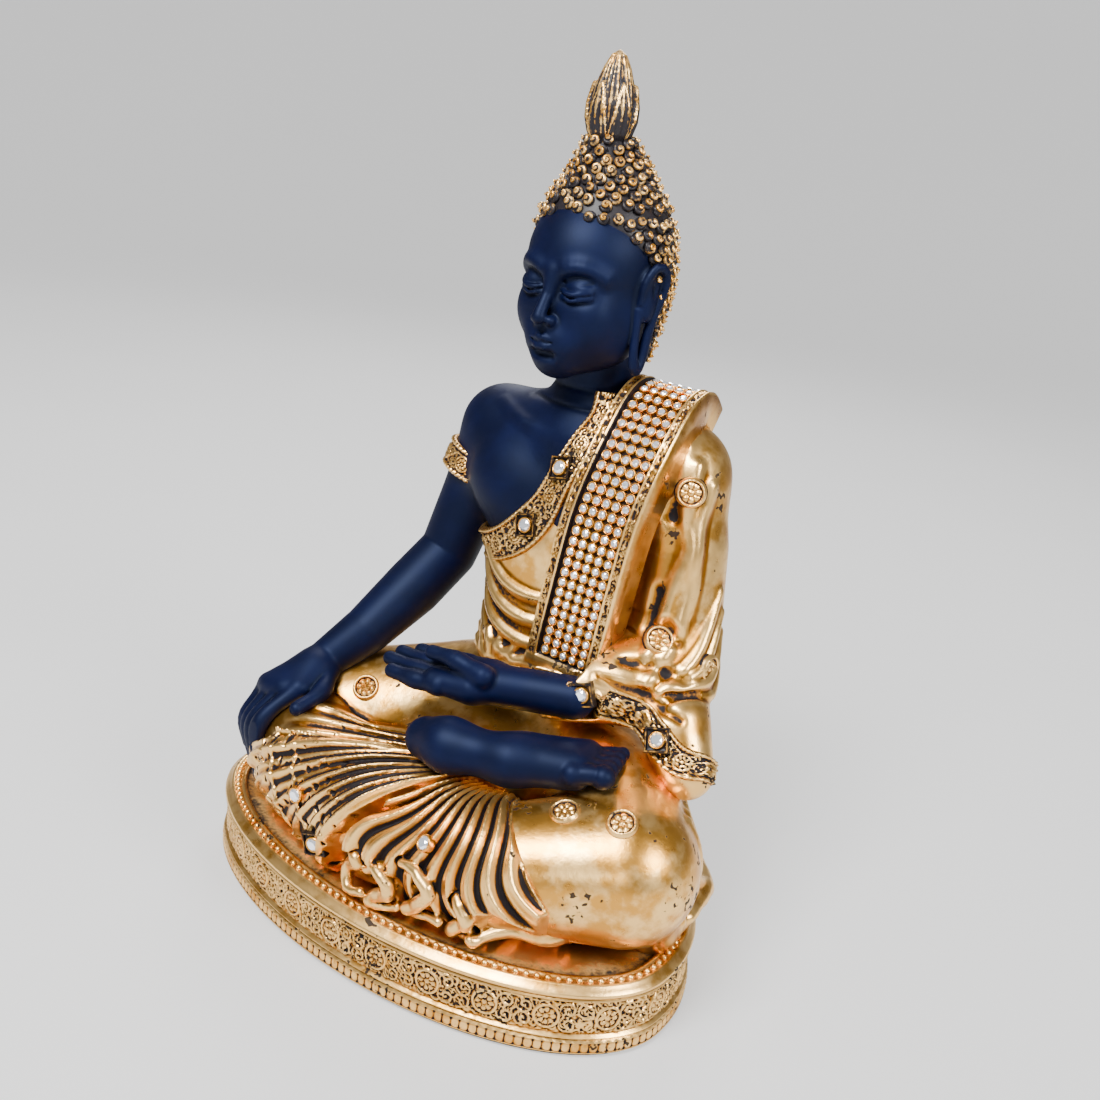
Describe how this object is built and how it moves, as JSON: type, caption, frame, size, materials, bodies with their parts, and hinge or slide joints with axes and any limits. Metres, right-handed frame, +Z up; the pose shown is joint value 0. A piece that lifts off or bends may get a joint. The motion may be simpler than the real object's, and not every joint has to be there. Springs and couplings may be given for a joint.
{
  "type": "buddha statue",
  "caption": "Seated Buddha statue in the earth-touching pose, painted resin sections on an oval relief pedestal, with a stone-set stole and hem stones.",
  "frame": {"origin": "centre of the underside, on the felt", "axes": "+Z up; the figure faces -Y and its own left side is +X"},
  "size_m": [0.152, 0.1019, 0.23],
  "materials": {
    "navy_skin": "matte painted resin",
    "gold_paint": "aged gold paint with black in the recesses",
    "black_hair": "black paint with gold-tipped curls",
    "stone_crystal": "clear cut stones in black settings",
    "mesh_cups": "orange-gold stone cups",
    "felt_black": "black felt"
  },
  "bodies": {
    "root": {"pedestal": "gold_paint", "rim_beads": "gold_paint", "felt_pad": "felt_black", "lower_robe": "gold_paint", "shin_drape": "gold_paint", "centre_drape": "gold_paint", "hem_stones": "stone_crystal", "torso": "navy_skin", "upper_robe": "gold_paint", "neckline_border": "gold_paint", "neckline_stones": "stone_crystal", "right_arm": "navy_skin", "armlet": "gold_paint", "left_sleeve": "gold_paint", "cuff_border": "gold_paint", "cuff_stones": "stone_crystal", "stole": "gold_paint", "rhinestone_mesh": "mesh_cups", "mesh_stones": "stone_crystal", "left_hand": "navy_skin", "right_foot": "navy_skin", "head": "navy_skin", "hair_cap": "black_hair", "hair_curls": "black_hair", "flame_finial": "gold_paint", "robe_medallions": "gold_paint", "sleeve_medallions": "gold_paint"}
  },
  "joints": []
}
